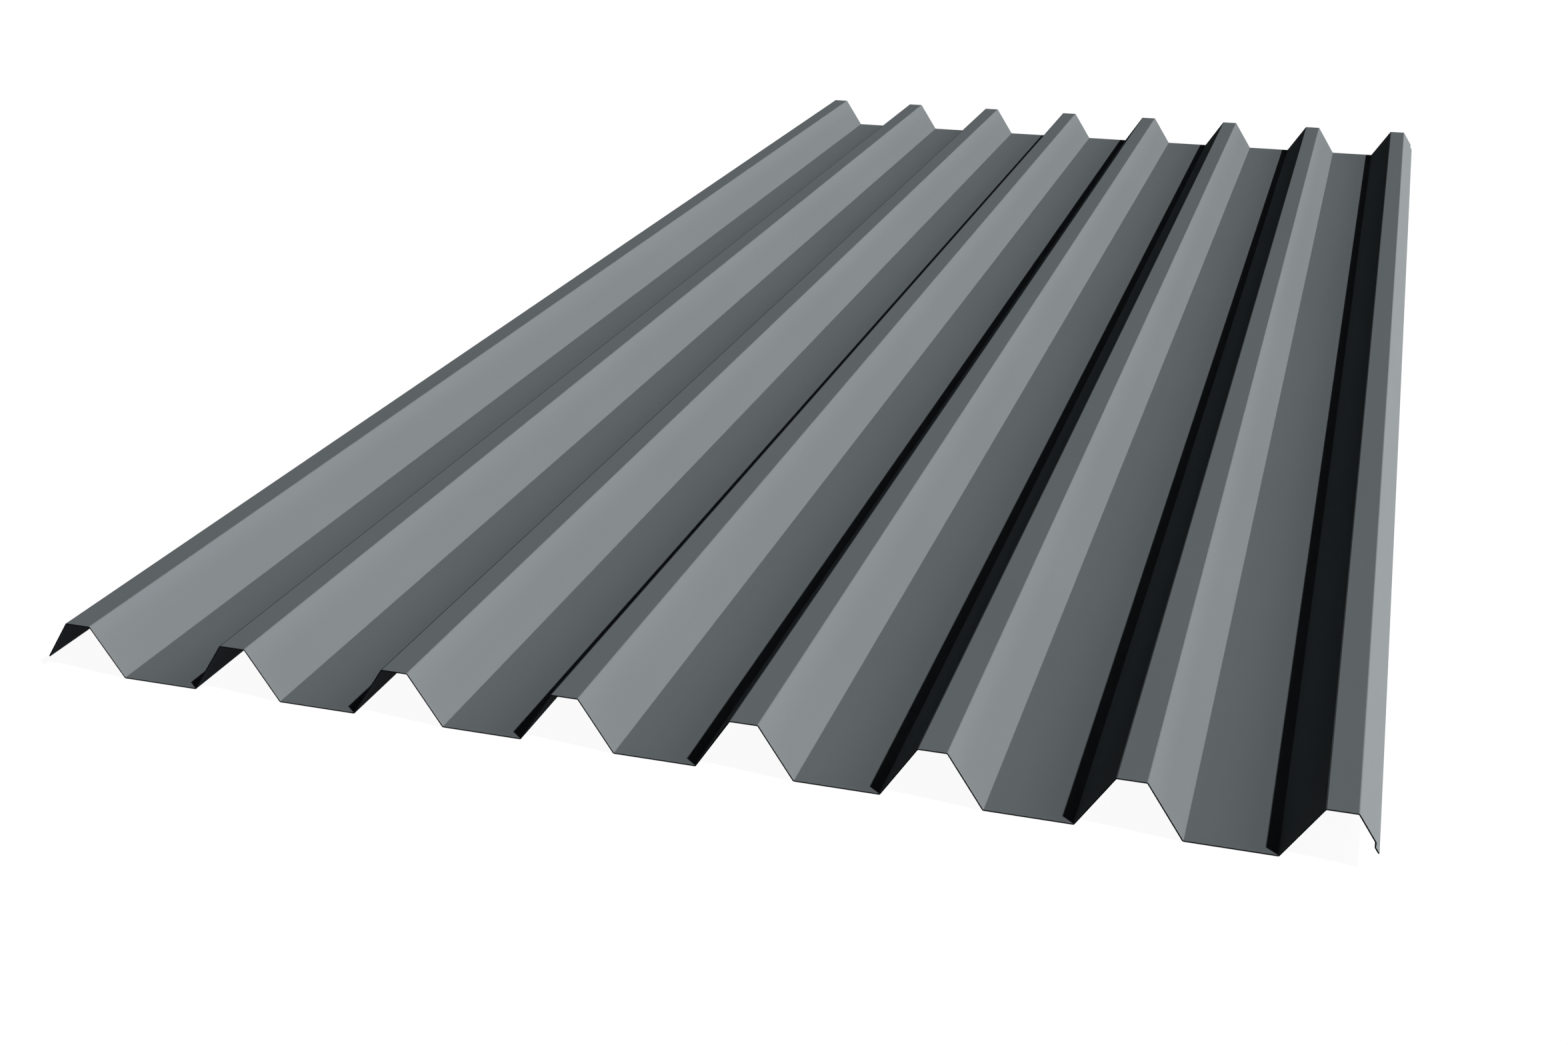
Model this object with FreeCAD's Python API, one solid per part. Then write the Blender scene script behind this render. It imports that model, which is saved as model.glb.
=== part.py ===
"""Profiled metal roofing sheet: one strip of coated steel, roll-formed into narrow ribs and wide pans.

X runs across the sheet, Y along its ribs and Z up. The origin is in the middle of the sheet's footprint,
on the plane that its pans rest on. The overlap edge, which covers the neighbouring sheet's last rib, is
at -X. The underlap edge, which goes beneath the next sheet and has the anti-capillary step, is at +X.
"""

import FreeCAD, Part
import math
import os

# Driving dimensions in millimetres
COVER_WIDTH = 850.0  # from the centre of the first rib to the centre of the last
PAN_COUNT = 7  # pans across the sheet, one fewer than its ribs
SHEET_LENGTH = 2000.0
PROFILE_DEPTH = 36.7  # from the underside of a pan to the top of a rib
STEEL_THICKNESS = 0.9
CREST_WIDTH = 18.7  # flat top of a rib, between the corners of the strip's middle line
WEB_RUN = 23.4  # horizontal reach of one sloping web
BEND_RADIUS = 0.6  # on the inside of every bend
OVERLAP_DROP = 27.7  # fall of the plain overlap lip from the crest of the first rib
STEP_DROP = 17.0  # fall from the crest of the last rib to the top of the anti-capillary step
STEP_HEIGHT = 3.4  # the upright part of that step
UNDERLAP_LIP_RUN = 2.4  # horizontal reach of the short lip below the step

# What follows from them
RIB_COUNT = PAN_COUNT + 1
RIB_PITCH = COVER_WIDTH / PAN_COUNT
PAN_LEVEL = STEEL_THICKNESS / 2
CREST_LEVEL = PROFILE_DEPTH - STEEL_THICKNESS / 2
WEB_FALL = (CREST_LEVEL - PAN_LEVEL) / WEB_RUN  # fall of a web over each millimetre across
WEB_ANGLE = math.atan(WEB_FALL)


def section_point(x, z):
    return FreeCAD.Vector(x, 0, z)


def overlap_lip(rib_centre):
    """Free edge of the first rib's outer web."""
    lip_x = rib_centre - CREST_WIDTH / 2 - OVERLAP_DROP / WEB_FALL
    return section_point(lip_x, CREST_LEVEL - OVERLAP_DROP)


def underlap_lip(rib_centre):
    """Corners of the last rib's outer web: the top and foot of its step, then its free edge."""
    step_x = rib_centre + CREST_WIDTH / 2 + STEP_DROP / WEB_FALL
    step_foot = CREST_LEVEL - STEP_DROP - STEP_HEIGHT
    return [
        section_point(step_x, CREST_LEVEL - STEP_DROP),
        section_point(step_x, step_foot),
        section_point(step_x + UNDERLAP_LIP_RUN, step_foot - UNDERLAP_LIP_RUN * WEB_FALL),
    ]


def midline_corners():
    """Corners of the strip's middle line, from the overlap edge to the underlap edge, centred on X."""
    half_steel = STEEL_THICKNESS / 2 * math.sin(WEB_ANGLE)
    overlap_reach = CREST_WIDTH / 2 + OVERLAP_DROP / WEB_FALL + half_steel
    underlap_reach = CREST_WIDTH / 2 + STEP_DROP / WEB_FALL + UNDERLAP_LIP_RUN + half_steel
    first_rib = (overlap_reach - underlap_reach - COVER_WIDTH) / 2
    corners = [overlap_lip(first_rib)]
    for rib in range(RIB_COUNT):
        centre = first_rib + rib * RIB_PITCH
        crest_left = centre - CREST_WIDTH / 2
        crest_right = centre + CREST_WIDTH / 2
        if rib > 0:
            corners.append(section_point(crest_left - WEB_RUN, PAN_LEVEL))
        corners.append(section_point(crest_left, CREST_LEVEL))
        corners.append(section_point(crest_right, CREST_LEVEL))
        if rib < RIB_COUNT - 1:
            corners.append(section_point(crest_right + WEB_RUN, PAN_LEVEL))
    return corners + underlap_lip(first_rib + COVER_WIDTH)


def left_normal(direction):
    """Direction turned a quarter left in the section plane: upwards where the strip runs towards +X."""
    return FreeCAD.Vector(-direction.z, 0, direction.x)


def skin(corners, offset):
    """One face of the strip as lines and bend arcs, at a signed distance above its middle line."""
    runs = [(after - before).normalize() for before, after in zip(corners, corners[1:])]
    edges = []
    start = corners[0] + left_normal(runs[0]) * offset
    for corner, run_in, run_out in zip(corners[1:-1], runs, runs[1:]):
        turn = run_in.getAngle(run_out)
        side = math.copysign(1, left_normal(run_in).dot(run_out))
        mid_radius = BEND_RADIUS + STEEL_THICKNESS / 2
        tangent = mid_radius * math.tan(turn / 2)
        centre = corner - run_in * tangent + left_normal(run_in) * side * mid_radius
        outward = (corner - centre).normalize()
        bend_in = corner - run_in * tangent + left_normal(run_in) * offset
        bend_top = centre + outward * (mid_radius - side * offset)
        bend_out = corner + run_out * tangent + left_normal(run_out) * offset
        edges.append(Part.LineSegment(start, bend_in).toShape())
        edges.append(Part.Arc(bend_in, bend_top, bend_out).toShape())
        start = bend_out
    end = corners[-1] + left_normal(runs[-1]) * offset
    edges.append(Part.LineSegment(start, end).toShape())
    return edges


def strip_section(corners):
    """Closed outline of the formed strip: its two faces and its two square-cut slit edges."""
    upper = skin(corners, STEEL_THICKNESS / 2)
    lower = skin(corners, -STEEL_THICKNESS / 2)
    overlap_cut = Part.LineSegment(lower[0].Vertexes[0].Point, upper[0].Vertexes[0].Point).toShape()
    underlap_cut = Part.LineSegment(upper[-1].Vertexes[-1].Point, lower[-1].Vertexes[-1].Point).toShape()
    outline = Part.Wire(Part.__sortEdges__(upper + [underlap_cut] + lower + [overlap_cut]))
    return Part.Face(outline)


def roofing_sheet():
    """The section drawn out along the ribs, with its length centred on the origin."""
    section = strip_section(midline_corners())
    section.translate(FreeCAD.Vector(0, -SHEET_LENGTH / 2, 0))
    return section.extrude(FreeCAD.Vector(0, SHEET_LENGTH, 0))


os.makedirs("parts", exist_ok=True)
sheet = roofing_sheet()
sheet.exportStep("parts/roofing_sheet.step")
print(
    f"roofing_sheet: {len(sheet.Solids)} solid, valid {sheet.isValid()}, {sheet.Volume / 1000:.1f} cm3, "
    f"{sheet.BoundBox.XLength:.2f} x {sheet.BoundBox.YLength:.2f} x {sheet.BoundBox.ZLength:.2f} mm"
)
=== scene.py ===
import math

import bmesh
import bpy
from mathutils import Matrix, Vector


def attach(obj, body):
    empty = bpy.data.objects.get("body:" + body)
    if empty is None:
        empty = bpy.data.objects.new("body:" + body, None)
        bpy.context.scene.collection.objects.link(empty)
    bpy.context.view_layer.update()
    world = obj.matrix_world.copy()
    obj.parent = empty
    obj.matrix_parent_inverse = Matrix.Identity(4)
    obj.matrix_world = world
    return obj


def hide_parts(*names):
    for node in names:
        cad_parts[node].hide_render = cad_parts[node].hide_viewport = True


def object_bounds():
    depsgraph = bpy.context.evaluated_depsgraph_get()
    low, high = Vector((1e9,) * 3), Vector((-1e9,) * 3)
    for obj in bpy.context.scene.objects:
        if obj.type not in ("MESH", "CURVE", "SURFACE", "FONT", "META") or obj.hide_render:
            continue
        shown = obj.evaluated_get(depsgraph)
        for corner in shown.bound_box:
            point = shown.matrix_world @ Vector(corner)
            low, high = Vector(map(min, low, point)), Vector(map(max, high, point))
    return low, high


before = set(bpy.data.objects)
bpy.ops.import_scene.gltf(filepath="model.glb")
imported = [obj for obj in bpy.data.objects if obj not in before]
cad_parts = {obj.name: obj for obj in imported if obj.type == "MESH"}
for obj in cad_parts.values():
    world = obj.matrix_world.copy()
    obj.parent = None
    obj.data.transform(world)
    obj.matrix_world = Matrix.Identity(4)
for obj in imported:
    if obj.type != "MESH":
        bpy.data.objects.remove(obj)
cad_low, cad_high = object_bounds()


# The sheet is galvanised steel strip 0.9 mm thick, coated on both faces as flat coil and then cold
# roll-formed into its ribs. It was sheared to length and slit to width afterwards, so the steel core
# shows bare along all four edges, between the matt grey top coat and the thin backing coat. The core and
# the backing are coloured near black, partly as painted shade.
TOP_COAT = (0.138, 0.155, 0.164)
SHADE_LINE_COAT = (0.041, 0.046, 0.049)  # the same coat darkened over the left bend of a crest: painted shade that draws a thin dark line there
# The backing coat is coloured near black: a real coat, darkened as painted shade for the shaded
# underside.
BACKING_AND_SHADE_COAT = (0.012, 0.015, 0.018)
# The cut steel is near black: bare steel darkened as painted shade along the cut edges.
CUT_STEEL_AND_SHADE = (0.012, 0.013, 0.014)
PEEL_HEIGHT = 0.00005
STEEL_THICKNESS = 0.0009
SHEARED_ROUNDING = 0.00005
WELD_DISTANCE = 0.00001
FLAT_WITHIN = math.radians(1)
ARRIS_TURN = math.radians(50)  # sharper than any step between the facets of a bend

# How a face's finish is told from its lean and its height
TOP, BACKING, CUT, SHADE_LINE = range(4)
SHEARED_LEAN = 0.3  # a sheared face leans further than this along the ribs
ROOF_SIDE = Vector((0.3, 0, 1))  # tipped to +X, so that the step of the underlap edge counts as top
# The next two pick the left bends of the crests, whose coat is darkened as a painted shade line.
CREST_BEND_DEPTH = 0.001  # the bends beside a crest lie within this of its top
LEFT_BEND_LEAN = (-0.8, -0.05)  # from the foot of a crest's left bend to its top


class Signal:
    """One output of a material's nodes.

    Sums, differences and products on it add Math nodes, and node() adds a node of any other kind.
    """

    def __init__(self, tree, socket=None):
        self.tree = tree
        self.socket = socket

    def node(self, kind, settings=None, inputs=None, output=0):
        made = self.tree.nodes.new(kind)
        for name, value in (settings or {}).items():
            setattr(made, name, value)
        for name, value in (inputs or {}).items():
            if isinstance(value, Signal):
                self.tree.links.new(value.socket, made.inputs[name])
            else:
                made.inputs[name].default_value = value
        return Signal(self.tree, made.outputs[output] if made.outputs else None)

    def maths(self, operation, first, second):
        return self.node("ShaderNodeMath", {"operation": operation}, {0: first, 1: second})

    def __add__(self, other):
        return self.maths("ADD", self, other)

    def __radd__(self, other):
        return self.maths("ADD", other, self)

    def __sub__(self, other):
        return self.maths("SUBTRACT", self, other)

    def __rsub__(self, other):
        return self.maths("SUBTRACT", other, self)

    def __mul__(self, other):
        return self.maths("MULTIPLY", self, other)

    def __rmul__(self, other):
        return self.maths("MULTIPLY", other, self)


def finish_named(name):
    """A new material with an empty node tree, and the signal that its nodes are added from."""
    material = bpy.data.materials.new(name)
    material.use_nodes = True
    material.node_tree.nodes.clear()
    return material, Signal(material.node_tree)


def surface(start, shader):
    start.node("ShaderNodeOutputMaterial", inputs={"Surface": shader})


def grain(start, scale, detail, along_ribs=1.0):
    """Noise fixed to the sheet. A small along_ribs draws it out into streaks that follow the ribs."""
    place = start.node("ShaderNodeTexCoord", output="Object")
    drawn = start.node("ShaderNodeMapping", inputs={"Vector": place, "Scale": (1.0, along_ribs, 1.0)})
    return start.node("ShaderNodeTexNoise", inputs={"Vector": drawn, "Scale": scale, "Detail": detail})


def dull_surface(start, colour, shade, roughness, relief=None):
    """A finish without shine, whose colour a shade of about 1 makes a little lighter or darker."""
    shaded = start.node("ShaderNodeVectorMath", {"operation": "SCALE"}, {0: colour, "Scale": shade})
    inputs = {"Base Color": shaded, "Roughness": roughness, "Specular IOR Level": 0.0}
    if relief:
        inputs["Normal"] = relief
    surface(start, start.node("ShaderNodeBsdfPrincipled", inputs=inputs))


def top_coat(name, colour):
    """Coil paint, with faint clouds, streaks from the coating line and a trace of orange peel."""
    material, start = finish_named(name)
    clouds = grain(start, scale=4.0, detail=2.0)
    streaks = grain(start, scale=120.0, detail=3.0, along_ribs=0.02)
    peel = grain(start, scale=250.0, detail=2.0)
    relief = start.node(
        "ShaderNodeBump", inputs={"Height": peel, "Strength": 0.3, "Distance": PEEL_HEIGHT}
    )
    shade = 0.94 + 0.08 * clouds + 0.04 * streaks
    dull_surface(start, colour, shade, roughness=0.46 + 0.08 * streaks, relief=relief)
    return material


def backing_coat_and_shade():
    # Near black, as painted shade for the underside.
    material, start = finish_named("backing_coat_and_shade")
    streaks = grain(start, scale=160.0, detail=4.0, along_ribs=0.03)
    dull_surface(start, BACKING_AND_SHADE_COAT, shade=0.86 + 0.28 * streaks, roughness=0.62 + 0.1 * streaks)
    return material


def cut_steel_and_shade():
    # Near black, as painted shade along the cut edges.
    material, start = finish_named("cut_steel_and_shade")
    tears = grain(start, scale=3000.0, detail=3.0)
    dull_surface(start, CUT_STEEL_AND_SHADE, shade=0.7 + 0.6 * tears, roughness=0.5 + 0.2 * tears)
    return material


def finish_of(face):
    """Sheared faces look along the ribs, and slit ones lie at the sides. The rest are coated, and the
    left bends of the crests get a darker coat as painted shade.
    """
    middle = face.calc_center_median()
    sheared = abs(face.normal.y) > SHEARED_LEAN
    slit = abs(middle.x) > cad_high.x - STEEL_THICKNESS
    if sheared or slit:
        return CUT
    if face.normal.dot(ROOF_SIDE) < 0:
        return BACKING
    # A crest's left bend gets the darkened coat, a painted shade line.
    bend_foot, bend_top = LEFT_BEND_LEAN
    beside_crest = middle.z > cad_high.z - CREST_BEND_DEPTH
    return SHADE_LINE if beside_crest and bend_foot < face.normal.x < bend_top else TOP


cad_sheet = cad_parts["roofing_sheet"]
formed = bmesh.new()
formed.from_mesh(cad_sheet.data)
bmesh.ops.remove_doubles(formed, verts=formed.verts, dist=WELD_DISTANCE)
bmesh.ops.dissolve_limit(
    formed, angle_limit=FLAT_WITHIN, verts=formed.verts, edges=formed.edges, delimit={"NORMAL"}
)
bmesh.ops.bevel(
    formed,
    geom=[edge for edge in formed.edges if edge.calc_face_angle() > ARRIS_TURN],
    offset=SHEARED_ROUNDING,
    affect="EDGES",
    segments=2,
    profile=0.5,
    material=-1,
)
for face in formed.faces:
    face.smooth = True
    face.material_index = finish_of(face)
sheet_mesh = bpy.data.meshes.new("dressed_sheet")
formed.to_mesh(sheet_mesh)
formed.free()
sheet = bpy.data.objects.new("dressed_sheet", sheet_mesh)
bpy.context.scene.collection.objects.link(sheet)
sheet_mesh.materials.append(top_coat("top_coat", TOP_COAT))
sheet_mesh.materials.append(backing_coat_and_shade())
sheet_mesh.materials.append(cut_steel_and_shade())
# The fourth finish is the painted shade line on the left bends of the crests.
sheet_mesh.materials.append(top_coat("shade_line_coat", SHADE_LINE_COAT))
flat_faces = sheet.modifiers.new("flat_faces_stay_flat", "WEIGHTED_NORMAL")
flat_faces.weight = 100
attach(sheet, "root")
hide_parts("roofing_sheet")


# The floor that the sheet lies on, plain and pale. The camera sees it white, with a faint shadow.
FLOOR_HALF = 30.0
FLOOR_GREY = (0.4, 0.4, 0.4, 1.0)
FLOOR_WHITE = 0.95
FLOOR_SHADOW = (0.09, 0.09, 0.09, 1.0)


def white_to_the_camera(start):
    """1 for the rays that show a background: from the camera, and from its mirror and glass paths."""
    rays = start.node("ShaderNodeLightPath").socket.node
    camera, glossy, through = (
        Signal(start.tree, rays.outputs[name])
        for name in ("Is Camera Ray", "Is Glossy Ray", "Is Transmission Ray")
    )
    either = start.maths("MAXIMUM", camera, glossy)
    return start.maths("MAXIMUM", either, through)


floor_mesh = bpy.data.meshes.new("floor")
plane = bmesh.new()
bmesh.ops.create_grid(plane, x_segments=1, y_segments=1, size=FLOOR_HALF)
plane.to_mesh(floor_mesh)
plane.free()
floor = bpy.data.objects.new("floor", floor_mesh)
bpy.context.scene.collection.objects.link(floor)
pale, start = finish_named("pale_floor")
matt = start.node("ShaderNodeBsdfDiffuse", inputs={"Color": FLOOR_GREY})
glow = start.node("ShaderNodeEmission", inputs={"Strength": FLOOR_WHITE})
shadow_catcher = start.node("ShaderNodeBsdfDiffuse", inputs={"Color": FLOOR_SHADOW})
seen = start.node("ShaderNodeAddShader", inputs={0: glow, 1: shadow_catcher})
shown = white_to_the_camera(start)
surface(start, start.node("ShaderNodeMixShader", inputs={0: shown, 1: matt, 2: seen}))
floor_mesh.materials.append(pale)


# The studio, lit from the right: a hard key lamp and a soft window high up, a cool glow low down, and
# two lamps level with the sheet. The wall lamp casts no shadows, so that one rib doesn't shade the next.
# A counter lamp from the left lights the first rib's outer web. The white room adds next to nothing.
ROOM_FILL = 0.01
WARM = (1.0, 0.92, 0.84)
COOL = (0.82, 0.79, 1.0)


def distant_lamp(name, comes_from, strength, width, colour=(1, 1, 1), shadows=True):
    """A lamp so far off that its light is parallel. Its width is the angle that it spans, in degrees."""
    lamp = bpy.data.lights.new(name, "SUN")
    lamp.energy = strength
    lamp.color = colour
    lamp.angle = math.radians(width)
    lamp.use_shadow = shadows
    holder = bpy.data.objects.new(name, lamp)
    holder.rotation_euler = Vector(comes_from).to_track_quat("Z", "Y").to_euler()
    bpy.context.scene.collection.objects.link(holder)


distant_lamp("key", comes_from=(0.875, -0.19, 1.0), strength=2.67, width=1.0)
distant_lamp("window", comes_from=(0.81, 0.0, 0.588), strength=0.65, width=18.0)
distant_lamp("glow", comes_from=(1.0, 0.0, 0.096), strength=0.7, width=11.0, colour=COOL)
distant_lamp("wall", comes_from=(1.0, 0.0, 0.0), strength=2.73, width=1.0, colour=WARM, shadows=False)
distant_lamp("level", comes_from=(1.0, 0.0, 0.003), strength=1.8, width=0.3, colour=WARM)
distant_lamp("counter", comes_from=(-1.0, 0.0, 0.003), strength=2.5, width=0.3)
room = bpy.data.worlds.new("room")
room.use_nodes = True
room.node_tree.nodes.clear()
start = Signal(room.node_tree)
shown = white_to_the_camera(start)
strength = shown + ROOM_FILL * (1 - shown)
light = start.node("ShaderNodeBackground", inputs={"Color": (1, 1, 1, 1), "Strength": strength})
start.node("ShaderNodeOutputWorld", inputs={"Surface": light})
bpy.context.scene.world = room


# The camera stands in front of the near end and to the right, and looks down along the ribs. Its place,
# turn and lens are fitted to the sheet's edges in the photograph.
CAMERA_PLACE = (0.40396, -2.03476, 0.63206)
CAMERA_DOWN = math.radians(22.838)
CAMERA_LEFT = math.radians(16.898)
LENS = 45.164
SENSOR = 36.0

camera = bpy.data.cameras.new("camera")
camera.lens = LENS
camera.sensor_width = SENSOR
viewer = bpy.data.objects.new("camera", camera)
viewer.location = CAMERA_PLACE
viewer.rotation_euler = (math.pi / 2 - CAMERA_DOWN, 0, CAMERA_LEFT)
bpy.context.scene.collection.objects.link(viewer)
bpy.context.scene.camera = viewer
bpy.context.scene.view_settings.view_transform = "Standard"
